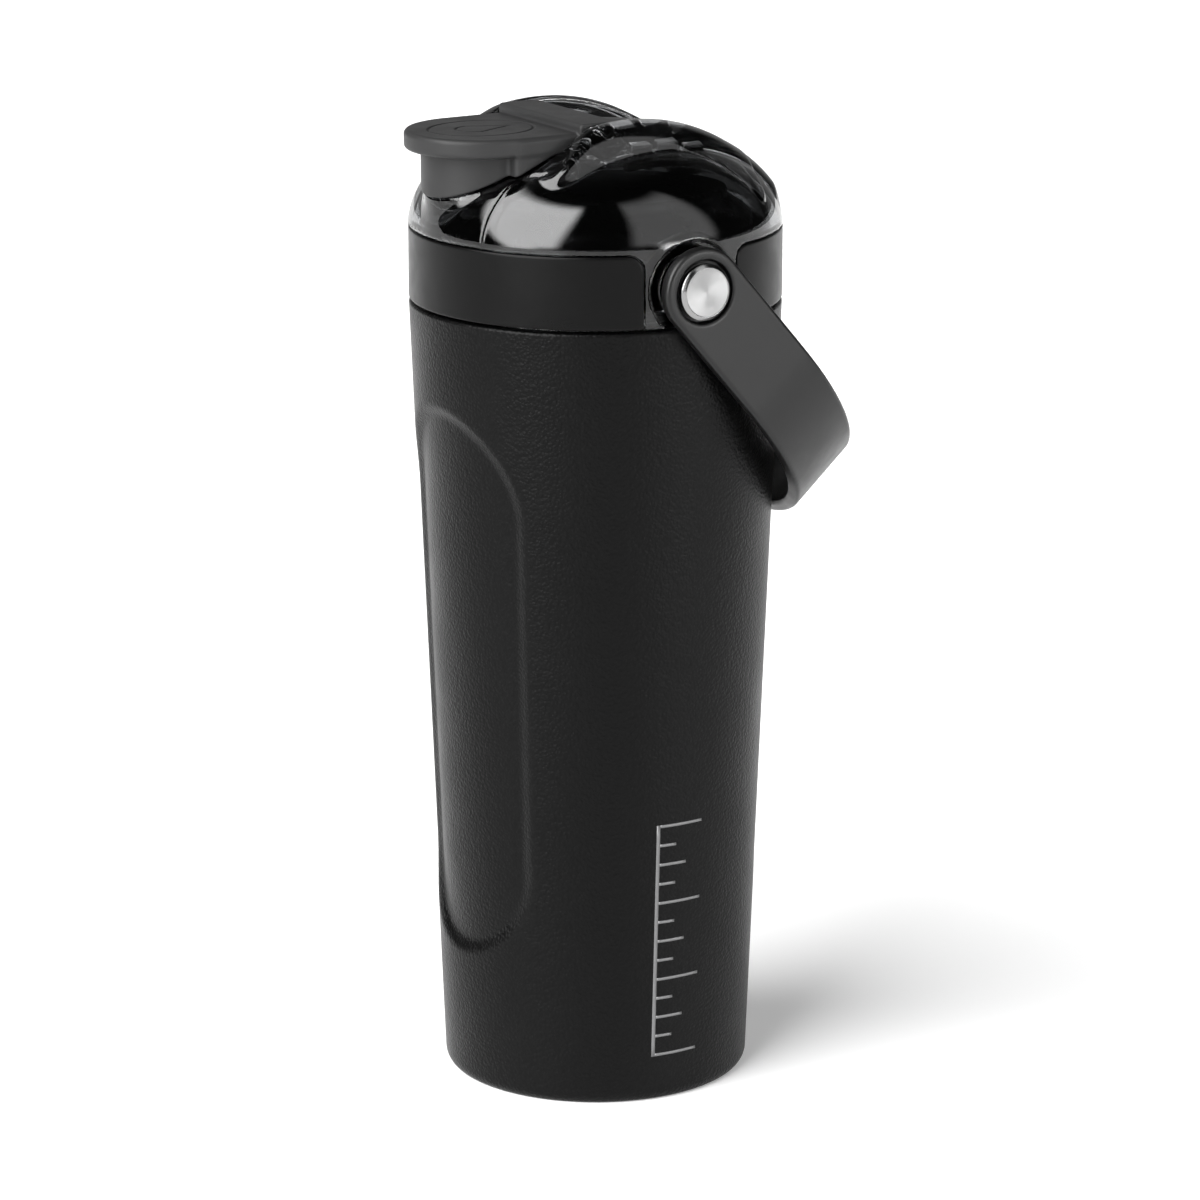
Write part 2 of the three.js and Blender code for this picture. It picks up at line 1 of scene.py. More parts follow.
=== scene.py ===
"""Looks for the insulated shaker bottle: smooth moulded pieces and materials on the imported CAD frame.

The shapes are worked out in millimetres in the row frame and turned into metres when a mesh is made.
-Y is the front, where the spout is; the strap hangs at +Y; its pivots are at +X and -X.
"""

import math

import bmesh
import bpy
import numpy as np
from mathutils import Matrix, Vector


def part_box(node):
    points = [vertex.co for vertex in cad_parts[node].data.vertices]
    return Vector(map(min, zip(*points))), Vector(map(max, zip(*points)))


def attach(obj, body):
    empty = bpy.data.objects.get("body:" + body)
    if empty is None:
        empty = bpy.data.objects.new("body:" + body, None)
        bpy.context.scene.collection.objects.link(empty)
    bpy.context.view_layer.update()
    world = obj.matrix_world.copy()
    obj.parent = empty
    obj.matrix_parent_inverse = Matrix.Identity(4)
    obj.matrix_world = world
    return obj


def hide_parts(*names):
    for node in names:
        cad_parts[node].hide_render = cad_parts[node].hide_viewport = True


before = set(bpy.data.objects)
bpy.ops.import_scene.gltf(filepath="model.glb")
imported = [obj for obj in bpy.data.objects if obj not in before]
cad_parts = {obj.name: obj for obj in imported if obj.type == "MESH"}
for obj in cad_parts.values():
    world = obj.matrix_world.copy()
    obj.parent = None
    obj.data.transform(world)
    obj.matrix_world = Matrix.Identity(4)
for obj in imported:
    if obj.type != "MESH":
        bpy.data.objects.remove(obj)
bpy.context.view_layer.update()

MM = 0.001


def box_mm(node):
    """A CAD node's lowest and highest corners, in millimetres."""
    low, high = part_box(node)
    return low / MM, high / MM


# ---- camera, floor and light --------------------------------------------------------------------
def make_camera():
    data = bpy.data.cameras.new("camera")
    data.sensor_width = 36
    data.lens = 144.62
    camera = bpy.data.objects.new("camera", data)
    camera.location = (0.9669, -0.5820, 0.4192)
    camera.rotation_euler = (math.radians(74.967), 0, math.radians(58.9))
    bpy.context.scene.collection.objects.link(camera)
    bpy.context.scene.camera = camera
    bpy.context.scene.view_settings.view_transform = "Standard"


def make_floor():
    reach = 12
    mesh = bpy.data.meshes.new("floor")
    corners = [(-reach, -reach, 0), (reach, -reach, 0), (reach, reach, 0), (-reach, reach, 0)]
    mesh.from_pydata(corners, [], [(0, 1, 2, 3)])
    floor = bpy.data.objects.new("floor", mesh)
    bpy.context.scene.collection.objects.link(floor)
    paper = bpy.data.materials.new("floor")
    paper.use_nodes = True
    shader = paper.node_tree.nodes["Principled BSDF"]
    shader.inputs["Base Color"].default_value = (0.9, 0.9, 0.9, 1)
    shader.inputs["Roughness"].default_value = 1
    shader.inputs["Specular IOR Level"].default_value = 0
    shader.inputs["Emission Color"].default_value = (1, 1, 1, 1)
    shader.inputs["Emission Strength"].default_value = 0.2
    mesh.materials.append(paper)


class Nodes:
    """Short ways to add and join shader nodes."""

    def __init__(self, tree):
        self.tree = tree

    def add(self, kind, **settings):
        node = self.tree.nodes.new(kind)
        for name, value in settings.items():
            setattr(node, name, value)
        return node

    def put(self, socket, value):
        if hasattr(value, "is_output"):
            self.tree.links.new(value, socket)
        else:
            socket.default_value = value

    def math(self, operation, *values, clamp=False):
        node = self.add("ShaderNodeMath", operation=operation, use_clamp=clamp)
        for socket, value in zip(node.inputs, values):
            self.put(socket, value)
        return node.outputs[0]

    def ramp(self, value, low, high, to_low=0.0, to_high=1.0):
        """value taken smoothly from low..high to to_low..to_high."""
        node = self.add("ShaderNodeMapRange", interpolation_type="SMOOTHSTEP")
        for socket, given in zip(node.inputs, (value, low, high, to_low, to_high)):
            self.put(socket, given)
        return node.outputs[0]


def make_light():
    world = bpy.data.worlds.new("studio")
    bpy.context.scene.world = world
    world.use_nodes = True
    n = Nodes(world.node_tree)
    background = world.node_tree.nodes["Background"]
    split = n.add("ShaderNodeSeparateXYZ")
    n.put(split.inputs[0], n.add("ShaderNodeTexCoord").outputs["Generated"])
    x, y, z = split.outputs
    elevation = n.math("DEGREES", n.math("ARCSINE", z))

    def soft_box(azimuth, half_width, low, high, strength, edge=5, lean=0.0, spread=0.0):
        """A patch round an azimuth, between two elevations; lean and spread are per degree of rise."""
        sine, cosine = math.sin(math.radians(azimuth)), math.cos(math.radians(azimuth))
        ahead = n.math("SUBTRACT", n.math("MULTIPLY", x, sine), n.math("MULTIPLY", y, cosine))
        across = n.math("ADD", n.math("MULTIPLY", x, cosine), n.math("MULTIPLY", y, sine))
        bearing = n.math("DEGREES", n.math("ARCTAN2", across, ahead))
        aside = n.math("ABSOLUTE", n.math("SUBTRACT", bearing, n.math("MULTIPLY", elevation, lean)))
        beyond = n.math("SUBTRACT", aside, n.math("MULTIPLY", elevation, spread))
        inside = n.ramp(beyond, half_width - edge, half_width + edge, 1, 0)
        above = n.ramp(elevation, low - edge, low + edge)
        below = n.ramp(elevation, high - edge, high + edge, 1, 0)
        patch = n.math("MULTIPLY", inside, n.math("MULTIPLY", above, below))
        return n.math("MULTIPLY", patch, strength)

    total = 0.02
    for patch in [
        soft_box(18, 16, 2, 60, 8.8, lean=-0.30, spread=0.5),
        soft_box(12, 10, -8, 3, 7.0),
        soft_box(110, 28, 5, 64, 1.35, lean=0.05),
        soft_box(114, 13, -8, 5, 20.0),
        soft_box(-118, 36, -8, 34, 0.4, edge=12),
    ]:
        total = n.math("ADD", patch, total)
    n.put(background.inputs["Strength"], total)
    background.inputs["Color"].default_value = (1, 1, 1, 1)


# ---- solids as distance functions ---------------------------------------------------------------
# A solid is a function of x, y and z that is negative inside it, in millimetres.
def either(a, b, radius=0.0):
    """The two solids joined, the inner corner between them filled to a radius."""
    if not radius:
        return np.minimum(a, b)
    fill = np.hypot(np.maximum(radius - a, 0), np.maximum(radius - b, 0))
    return np.maximum(radius, np.minimum(a, b)) - fill


def both(a, b, radius=0.0):
    """What the two solids share, the edge between them rounded to a radius."""
    return -either(-a, -b, radius)


def cut(a, b, radius=0.0):
    return both(a, -b, radius)


def span(value, low, high):
    return np.maximum(low - value, value - high)


def rounded_box(u, v, half_u, half_v, corner):
    over_u = np.abs(u) - half_u + corner
    over_v = np.abs(v) - half_v + corner
    outside = np.hypot(np.maximum(over_u, 0), np.maximum(over_v, 0))
    return outside + np.minimum(np.maximum(over_u, over_v), 0) - corner


def ellipse(u, v, half_u, half_v):
    """Nearly the distance to an ellipse about the origin."""
    near = np.hypot(u / half_u, v / half_v)
    steep = np.maximum(np.hypot(u / half_u**2, v / half_v**2), 1e-6)
    return near * (near - 1) / steep


# ---- meshes -------------------------------------------------------------------------------------
def new_object(name, vertices, faces, smooth=True):
    """A mesh from vertices in millimetres."""
    mesh = bpy.data.meshes.new(name)
    faces = np.asarray(faces, np.int32)
    count, sides = faces.shape
    mesh.vertices.add(len(vertices))
    mesh.vertices.foreach_set("co", (np.asarray(vertices) * MM).astype(np.float32).ravel())
    mesh.loops.add(count * sides)
    mesh.loops.foreach_set("vertex_index", faces.ravel())
    mesh.polygons.add(count)
    mesh.polygons.foreach_set("loop_start", np.arange(0, count * sides, sides, dtype=np.int32))
    mesh.polygons.foreach_set("loop_total", np.full(count, sides, np.int32))
    mesh.update(calc_edges=True)
    mesh.validate()
    if smooth:
        mesh.shade_smooth()
    made = bpy.data.objects.new(name, mesh)
    bpy.context.scene.collection.objects.link(made)
    return made


def cell_points(value, cells):
    """For each cell that the surface crosses, the middle of its crossings, in cells."""
    corner = {}
    for offset in np.ndindex(2, 2, 2):
        corner[offset] = value[tuple((cells + offset).T)]
    total = np.zeros(cells.shape)
    crossings = np.zeros(len(cells))
    for start in np.ndindex(2, 2, 2):
        for axis in range(3):
            if start[axis]:
                continue
            end = tuple(1 if i == axis else start[i] for i in range(3))
            a, b = corner[start], corner[end]
            crossed = (a < 0) != (b < 0)
            share = np.where(crossed, a / np.where(crossed, a - b, 1), 0)
            point = np.tile(np.array(start, float), (len(cells), 1))
            point[:, axis] = share
            total += point * crossed[:, None]
            crossings += crossed
    return cells + total / crossings[:, None]


def settle(solid, points, step):
    """Moves points onto the solid's surface, along its slope."""
    nudge = 0.01
    for _ in range(5):
        x, y, z = points.T
        value = solid(x, y, z)
        slope = np.stack([
            solid(x + nudge, y, z) - solid(x - nudge, y, z),
            solid(x, y + nudge, z) - solid(x, y - nudge, z),
            solid(x, y, z + nudge) - solid(x, y, z - nudge),
        ], axis=1) / (2 * nudge)
        steep = np.maximum((slope**2).sum(1), 0.2)
        move = slope * (value / steep)[:, None]
        points = points - np.clip(move, -step / 3, step / 3)
    return points


def moulded(name, solid, low, high, step, place=None):
    """A closed mesh of quads on a solid's surface, within a box, from a grid of the given step."""
    low = np.array(low, float) - 1.5 * step
    counts = np.ceil((np.array(high) + 1.5 * step - low) / step).astype(int) + 1
    x, y, z = (low[i] + step * np.arange(counts[i]) for i in range(3))
    value = np.empty(counts, np.float32)
    for i in range(0, counts[0], 16):
        value[i : i + 16] = solid(x[i : i + 16, None, None], y[None, :, None], z[None, None, :])
    inside = value < 0
    corners = [inside[a : a + counts[0] - 1, b : b + counts[1] - 1, c : c + counts[2] - 1]
               for a, b, c in np.ndindex(2, 2, 2)]
    crossed = np.logical_or.reduce(corners) & ~np.logical_and.reduce(corners)
    cells = np.argwhere(crossed)
    number = np.full(crossed.shape, -1, np.int32)
    number[crossed] = np.arange(len(cells))
    points = settle(solid, low + step * cell_points(value, cells), step)
    faces = []
    for axis in range(3):
        second, third = (axis + 1) % 3, (axis + 2) % 3
        here = [slice(None)] * 3
        following = [slice(None)] * 3
        here[axis], following[axis] = slice(0, -1), slice(1, None)
        first_in, next_in = inside[tuple(here)], inside[tuple(following)]
        for mask, order in ((first_in & ~next_in, 1), (next_in & ~first_in, -1)):
            edges = np.argwhere(mask)
            ring = []
            for back_second, back_third in ((1, 1), (0, 1), (0, 0), (1, 0)):
                cell = edges.copy()
                cell[:, second] -= back_second
                cell[:, third] -= back_third
                ring.append(number[tuple(cell.T)])
            faces.append(np.stack(ring[::order], axis=1))
    points = points if place is None else place(points)
    return new_object(name, points, np.concatenate(faces))


def rounded(profile, radius, steps=4):
    """A closed outline of (u, v) points, its corners rounded; a point may carry its own radius."""
    made = []
    count = len(profile)
    for i, point in enumerate(profile):
        here = np.array(point[:2], float)
        before = np.array(profile[i - 1][:2], float) - here
        after = np.array(profile[(i + 1) % count][:2], float) - here
        own = point[2] if len(point) > 2 else radius
        reach_before, reach_after = np.linalg.norm(before), np.linalg.norm(after)
        before, after = before / reach_before, after / reach_after
        angle = math.acos(np.clip(before @ after, -1, 1))
        back = min(own / math.tan(angle / 2), 0.48 * reach_before, 0.48 * reach_after)
        if own == 0 or math.pi - angle < 0.05:
            made.append(here)
            continue
        start, end = here + before * back, here + after * back
        for k in range(steps + 1):
            t = k / steps
            made.append((1 - t) ** 2 * start + 2 * t * (1 - t) * here + t**2 * end)
    return np.array(made)


def ring_quads(segments, count):
    """The quads of a closed ring of sections, each a closed outline of `count` points."""
    i, j = np.meshgrid(np.arange(segments), np.arange(count), indexing="ij")
    following, above = (i + 1) % segments, (j + 1) % count
    corners = (i * count + j, following * count + j, following * count + above, i * count + above)
    return np.stack(corners, -1).reshape(-1, 4)


def turned(name, outline, segments=96, axis="z", centre=(0, 0, 0)):
    """A closed outline of (radius, height) points turned about an axis; +x or -x lies along X."""
    angles = 2 * np.pi * np.arange(segments) / segments
    radius, height = np.maximum(outline[:, 0], 0), outline[:, 1]
    u = radius[None, :] * np.cos(angles)[:, None]
    v = radius[None, :] * np.sin(angles)[:, None]
    w = np.broadcast_to(height, u.shape)
    if axis == "z":
        points = np.stack([u, v, w], -1)
    else:
        side = 1 if axis == "+x" else -1
        points = np.stack([side * w, side * u, v], -1)
    made = new_object(name, points.reshape(-1, 3) + np.array(centre), ring_quads(segments, len(outline)))
    weld(made)
    return made


def weld(made):
    """Joins the points that a turned outline leaves on its axis, and turns all faces outwards."""
    work = bmesh.new()
    work.from_mesh(made.data)
    bmesh.ops.remove_doubles(work, verts=work.verts, dist=1e-6)
    bmesh.ops.dissolve_degenerate(work, edges=work.edges, dist=1e-7)
    bmesh.ops.recalc_face_normals(work, faces=work.faces)
    work.to_mesh(made.data)
    work.free()
    made.data.shade_smooth()


# ---- materials ----------------------------------------------------------------------------------
def material(name, colour, roughness, metallic=0.0, specular=0.5, **settings):
    """A Principled material, and the Nodes to add to it."""
    made = bpy.data.materials.new(name)
    made.use_nodes = True
    shader = made.node_tree.nodes["Principled BSDF"]
    tone = (colour,) * 3 if isinstance(colour, float) else colour
    shader.inputs["Base Color"].default_value = (*tone, 1)
    shader.inputs["Roughness"].default_value = roughness
    shader.inputs["Metallic"].default_value = metallic
    shader.inputs["Specular IOR Level"].default_value = specular
    for label, value in settings.items():
        shader.inputs[label.replace("_", " ")].default_value = value
    return made, Nodes(made.node_tree), shader


def object_position(n, stretch=(1, 1, 1)):
    """The place on the object in millimetres."""
    place = n.add("ShaderNodeTexCoord").outputs["Object"]
    scale = n.add("ShaderNodeVectorMath", operation="MULTIPLY")
    n.put(scale.inputs[0], place)
    scale.inputs[1].default_value = [1000 * s for s in stretch]
    return scale.outputs[0]


def noise(n, place, size, detail=2.0, roughness=0.5):
    """Noise with features of about `size` millimetres, from 0 to 1."""
    node = n.add("ShaderNodeTexNoise")
    n.put(node.inputs["Vector"], place)
    node.inputs["Scale"].default_value = 1 / size
    node.inputs["Detail"].default_value = detail
    node.inputs["Roughness"].default_value = roughness
    return node.outputs["Fac"]


def bump(n, shader, height, depth, normal=None):
    """Relief of `depth` millimetres on a shader's surface."""
    node = n.add("ShaderNodeBump")
    node.inputs["Distance"].default_value = depth * MM
    n.put(node.inputs["Height"], height)
    if normal is not None:
        n.put(node.inputs["Normal"], normal)
    n.put(shader.inputs["Normal"], node.outputs[0])
    return node.outputs[0]


def vary_colour(n, shader, amount, dark, light):
    """Base colour between two greys, by an amount from 0 to 1."""
    mix = n.add("ShaderNodeMix", data_type="RGBA")
    n.put(mix.inputs["Factor"], amount)
    mix.inputs[6].default_value = (dark, dark, dark * 1.01, 1)
    mix.inputs[7].default_value = (light, light, light * 1.01, 1)
    n.put(shader.inputs["Base Color"], mix.outputs[2])


def moulded_plastic(name, dark, light, roughness, grain, depth, specular=0.4):
    """Moulded plastic: a fine spark-eroded grain, and a faint change of gloss over the piece."""
    made, n, shader = material(name, dark, roughness, specular=specular)
    place = object_position(n)
    vary_colour(n, shader, noise(n, place, 6, 3), dark, light)
    gloss = n.ramp(noise(n, place, 11, 4, 0.6), 0.3, 0.7, roughness - 0.05, roughness + 0.05)
    n.put(shader.inputs["Roughness"], gloss)
    bump(n, shader, noise(n, place, grain, 3, 0.6), depth)
    return made


def powder_coat():
    """Textured powder coat: close pebbles half a millimetre across over a slight orange peel."""
    pebble_size, peel_size, fine_size = 0.75, 2.4, 0.35
    made, n, shader = material("powder_coat", 0.001, 0.36, specular=0.115)
    place = object_position(n)
    cells = n.add("ShaderNodeTexVoronoi", feature="SMOOTH_F1")
    n.put(cells.inputs["Vector"], place)
    cells.inputs["Scale"].default_value = 1 / pebble_size
    cells.inputs["Smoothness"].default_value = 0.6
    pebbles = cells.outputs["Distance"]
    vary_colour(n, shader, n.ramp(pebbles, 0.1, 0.75), 0.0015, 0.0008)
    gloss = n.ramp(noise(n, place, 18, 3), 0.3, 0.7, 0.33, 0.39)
    n.put(shader.inputs["Roughness"], gloss)
    fine = n.math("MULTIPLY", noise(n, place, fine_size, 2), 0.5)
    height = n.math("SUBTRACT", fine, pebbles)
    relief = bump(n, shader, height, 0.12)
    peel = n.add("ShaderNodeBump")
    peel.inputs["Distance"].default_value = 0.05 * MM
    n.put(peel.inputs["Height"], noise(n, place, peel_size, 2))
    n.put(peel.inputs["Normal"], relief)
    n.put(shader.inputs["Normal"], peel.outputs[0])
    return made


def smoked_clear():
    """Glossy smoked copolyester, with the faintest flow marks."""
    tint = (0.2, 0.204, 0.208)
    made, n, shader = material("smoked_clear", tint, 0.02, Transmission_Weight=1.0, IOR=1.5)
    place = object_position(n)
    bump(n, shader, noise(n, place, 14, 2), 0.02)
    return made


def brushed(name, tone, roughness, stretch, depth=0.01):
    """Steel brushed along one way: noise drawn out by `stretch`."""
    made, n, shader = material(name, tone, roughness, metallic=1.0)
    lines = noise(n, object_position(n, stretch), 0.4, 3, 0.7)
    n.put(shader.inputs["Roughness"], n.ramp(lines, 0.3, 0.7, roughness - 0.06, roughness + 0.08))
    vary_colour(n, shader, lines, tone * 0.92, tone)
    bump(n, shader, lines, depth)
    return made


def polished(name, colour, roughness=0.08):
    """Polished metal with faint scratches."""
    made, n, shader = material(name, colour, roughness, metallic=1.0)
    marks = noise(n, object_position(n, (0.4, 1, 3)), 0.8, 4, 0.7)
    n.put(shader.inputs["Roughness"], n.ramp(marks, 0.4, 0.8, roughness, roughness + 0.08))
    bump(n, shader, marks, 0.003)
    return made


def button_steel(name, pivot_z):
    """Face-turned steel: fine rings about the pivot, which smear the light into a cross."""
    face_radius = 5.6
    made, n, shader = material(name, 0.3, 0.34, metallic=1.0, Anisotropic=0.8)
    place = object_position(n)
    split = n.add("ShaderNodeSeparateXYZ")
    n.put(split.inputs[0], place)
    up = n.math("SUBTRACT", split.outputs[2], pivot_z)
    away = n.math("SQRT", n.math("ADD", n.math("POWER", split.outputs[1], 2), n.math("POWER", up, 2)))
    rings = n.add("ShaderNodeTexNoise", noise_dimensions="1D")
    n.put(rings.inputs["W"], away)
    rings.inputs["Scale"].default_value = 9
    rings.inputs["Detail"].default_value = 4
    turned_face = n.ramp(rings.outputs["Fac"], 0.3, 0.7, 0.28, 0.4)
    on_bevel = n.math("GREATER_THAN", away, face_radius)
    smoother = n.math("MULTIPLY", on_bevel, 0.2)
    n.put(shader.inputs["Roughness"], n.math("SUBTRACT", turned_face, smoother))
    bump(n, shader, rings.outputs["Fac"], 0.012)
    tangent = n.add("ShaderNodeTangent", direction_type="RADIAL", axis="X")
    n.put(shader.inputs["Tangent"], tangent.outputs[0])
    return made


LOOKS = {
    "powder_coat": powder_coat(),
    "flask_steel": brushed("flask_steel", 0.6, 0.3, (0.05, 0.05, 1)),
    "smoked_clear": smoked_clear(),
    "black_plastic": moulded_plastic("black_plastic", 0.004, 0.005, 0.3, 0.5, 0.004, 0.5),
    "silicone": moulded_plastic("silicone", 0.012, 0.015, 0.65, 0.3, 0.01, 0.3),
    "satin_plastic": moulded_plastic("satin_plastic", 0.001, 0.0015, 0.32, 0.22, 0.006, 0.13),
    "strap_plastic": moulded_plastic("strap_plastic", 0.003, 0.004, 0.36, 0.25, 0.008, 0.36),
    "matte_grey": moulded_plastic("matte_grey", 0.019, 0.023, 0.5, 0.3, 0.016, 0.25),
    "polished_steel": polished("polished_steel", 0.7),
    "brass": polished("brass", (0.6, 0.42, 0.16), 0.2),
}


def dress(made, body, slot, *nodes, look=None):
    """Gives a piece its material, its body and the CAD nodes that it stands for."""
    made.data.materials.clear()
    made.data.materials.append(look or LOOKS[slot])
    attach(made, body)
    if nodes:
        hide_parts(*nodes)
    return made


# ---- driving dimensions -------------------------------------------------------------------------
BODY_RADIUS = box_mm("outer_shell")[1].x
BODY_HEIGHT = box_mm("outer_shell")[1].z
BASE_RADIUS = 37.0
FOOT = (35.1, 2.9)  # radius on the ground, and how far up its edge is rounded
GRIP_DEPTH = 1.8
GRIP_EDGE = 5.0  # width of the soft step round a grip
LID_BOTTOM = box_mm("lid_band_front")[0].z
BAND_TOP = box_mm("lid_band_front")[1].z
DOME_HEIGHT = 27.0
PIVOT_Z = 200.5
GAP = 0.3  # between neighbouring pieces
HINGE_Y, HINGE_Z = -10.0, 233.5
PIN_BORE = 1.8  # radius of the hinge pin's holes
CAP_Y = -30.9
SPOUT_Y = -27.5
SPOUT_HOLE = 8.3  # radius of the holes that the spout stands in
CHEEK_TIP, CHEEK_REAR = -28.5, 37.0
CHANNEL_HALF = 19.3  # half the width between the cheeks
SADDLE_BACK, SADDLE_DROP = 2.5, 3.0  # how far the saddle's dome is from the lid's
SADDLE_THICKNESS = 2.6
BAND_WALL = 1.2


# ---- body ---------------------------------------------------------------------------------------
def body_radius(z):
    return BASE_RADIUS + (BODY_RADIUS - BASE_RADIUS) * z / BODY_HEIGHT


def grip_distance(x, z):
    """Distance to the outline of a thumb grip, seen from the front: two half circles and two sides."""
    top_z, top_half, bottom_z, bottom_half = 144, 23.8, 57, 22
    side = bottom_half + (top_half - bottom_half) * (z - bottom_z) / (top_z - bottom_z)
    above = np.hypot(x, z - top_z) - top_half
    below = np.hypot(x, z - bottom_z) - bottom_half
    return np.where(z > top_z, above, np.where(z < bottom_z, below, np.abs(x) - side))


def body_outline(rows):
    """The body's section as (radius, height) points: the outside, then the inside."""
    lip = 0.8
    foot_radius, foot_rise = FOOT
    turn = np.linspace(0, np.pi / 2, 7)
    wide = body_radius(foot_rise)
    foot = [(foot_radius + (wide - foot_radius) * math.sin(t), foot_rise * (1 - math.cos(t))) for t in turn]
    side = [(body_radius(z), z) for z in np.linspace(foot_rise, BODY_HEIGHT - lip, rows)[1:]]
    top = [(BODY_RADIUS - lip + lip * math.cos(t), BODY_HEIGHT - lip + lip * math.sin(t)) for t in turn[1:]]
    mouth, rim, chamfer = 41.1, 1.0, 0.3
    wall, shoulder, floor_z = 2.8, 4, 4
    seat, seat_top = 34.2, 1.2
    inside = [
        (mouth + chamfer, BODY_HEIGHT),
        (mouth, BODY_HEIGHT - chamfer),
        (mouth, BODY_HEIGHT - rim),
        (BODY_RADIUS - wall, BODY_HEIGHT - rim - shoulder),
        (body_radius(floor_z) - wall, floor_z),
        (seat, seat_top),
        (seat, chamfer),
        (seat + chamfer, 0),
    ]
    return foot + side + top, inside


def make_body():
    segments, rows = ((480, 320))
    outside, inside = body_outline(rows)
    outline = np.array(outside + inside)
    angle = 2 * np.pi * np.arange(segments) / segments
    radius = np.broadcast_to(outline[:, 0], (segments, len(outline))).copy()
    z = np.broadcast_to(outline[:, 1], radius.shape)
    outer = np.arange(len(outline)) < len(outside)
    sideways = radius * np.cos(angle)[:, None]
    share = np.clip(0.5 - grip_distance(sideways, z) / GRIP_EDGE, 0, 1)
    sunk = GRIP_DEPTH * share**3 * (share * (6 * share - 15) + 10)
    radius -= np.where(outer, sunk, 0)
    points = np.stack([radius * np.cos(angle)[:, None], radius * np.sin(angle)[:, None], z], -1)
    made = new_object("body_shell", points.reshape(-1, 3), ring_quads(segments, len(outline)))
    dress(made, "bottle", "powder_coat", "outer_shell")


def strip_mesh(start, end, low, high, base):
    """A thin closed strip laid round the body; start and end are lengths round it from the right side."""
    raised, buried = 0.05, 0.3
    columns = max(2, int((end - start) / 0.8))
    rows = max(2, int((high - low) / 3))
    vertices, faces = [], []
    for layer in (raised, -buried):
        for z in np.linspace(low, high, rows + 1):
            for across in np.linspace(start, end, columns + 1):
                radius = body_radius(z)
                angle = across / radius
                reach = radius + layer
                vertices.append((reach * math.cos(angle), reach * math.sin(angle), z))
    stride = columns + 1
    layer_size = stride * (rows + 1)
    for r in range(rows):
        for c in range(columns):
            a = base + r * stride + c
            faces.append((a, a + 1, a + stride + 1, a + stride))
            b = a + layer_size
            faces.append((b, b + stride, b + stride + 1, b + 1))
    border = [base + c for c in range(columns + 1)]
    border += [base + (r + 1) * stride - 1 for r in range(1, rows + 1)]
    border += [base + rows * stride + c for c in range(columns - 1, -1, -1)]
    border += [base + r * stride for r in range(rows - 1, 0, -1)]
    for a, b in zip(border, border[1:] + border[:1]):
        faces.append((b, a, a + layer_size, b + layer_size))
    return vertices, faces


def make_etched_scale():
    """A plain graduated scale etched through the coat down to the steel: one long line with ticks."""
    bottom, top, ticks = 11.5, 70.5, 13
    every_fourth, every_second, others = 12.4, 8.0, 5.2
    left, line_width, tick_height = -6.6, 0.9, 0.7
    strips = [(left, left + line_width, bottom, top)]
    for k in range(ticks):
        z = bottom + tick_height / 2 + (top - bottom - tick_height) * k / (ticks - 1)
        long = every_fourth if k % 4 == 0 else (every_second if k % 2 == 0 else others)
        strips.append((left + line_width, left + long, z - tick_height / 2, z + tick_height / 2))
    vertices, faces = [], []
    for strip in strips:
        more_vertices, more_faces = strip_mesh(*strip, len(vertices))
        vertices += more_vertices
        faces += more_faces
    made = new_object("etched_scale", vertices, faces, smooth=False)
    look, n, shader = material("etched_steel", 0.2, 0.45, metallic=0.6)
    place = object_position(n)
    vary_colour(n, shader, noise(n, place, 0.5, 3), 0.14, 0.19)
    bump(n, shader, noise(n, place, 0.3, 2), 0.02)
    dress(made, "bottle", "flask_steel", look=look)


def make_base_plate():
    outline = rounded([
        (0, 0.35, 0), (9, 0.35, 1), (10, 0, 1), (24, 0, 1), (25, 0.3, 1), (27, 0.3, 1), (28, 0, 1),
        (33.9, 0, 0.4), (33.9, 1.2, 0.2), (0, 1.2, 0),
    ], 0.4)
    dress(turned("base_disc", outline, 128), "bottle", "flask_steel", "base_plate")


# ---- lid ----------------------------------------------------------------------------------------
def dome(x, y, z, inset=0.0):
    radius = np.hypot(x, y)
    return ellipse(radius, np.maximum(z - BAND_TOP, 0), BODY_RADIUS - inset, DOME_HEIGHT - inset)


def saddle_dome(x, y, z, inset=0.0):
    """The dome that the saddle follows: lower than the lid's, and further back."""
    return dome(x, y - SADDLE_BACK, z + SADDLE_DROP, inset)


def above_deck(y, z, sink=0.0, grow=0.0):
    """The space over the deck under the cap, with the round well for the hinge bar."""
    level, brow, slope, sweep = 229.5 - sink, -21.5, 0.45, 6.2 + grow
    deck = np.maximum((level + slope * np.minimum(y - brow, 0) - z), y - HINGE_Y)
    well = np.hypot(y - HINGE_Y, z - HINGE_Z) - sweep
    over = np.maximum(span(y, HINGE_Y - 1, HINGE_Y + sweep), HINGE_Z - z)
    return either(either(deck, well, 0.5), over)


def channel(x, y, z, sink=0.0):
    """The way between the cheeks: the deck in front, and the saddle's seat behind the hinge."""
    seat_front = HINGE_Y + 5.2
    front = above_deck(y, z, sink, sink)
    seat = saddle_dome(x, y, z, SADDLE_THICKNESS + GAP + sink)
    rear = np.maximum(span(y, seat_front, CHEEK_REAR + GAP + sink), -seat)
    return both(np.abs(x) - CHANNEL_HALF - sink, either(front, rear), 0.4)


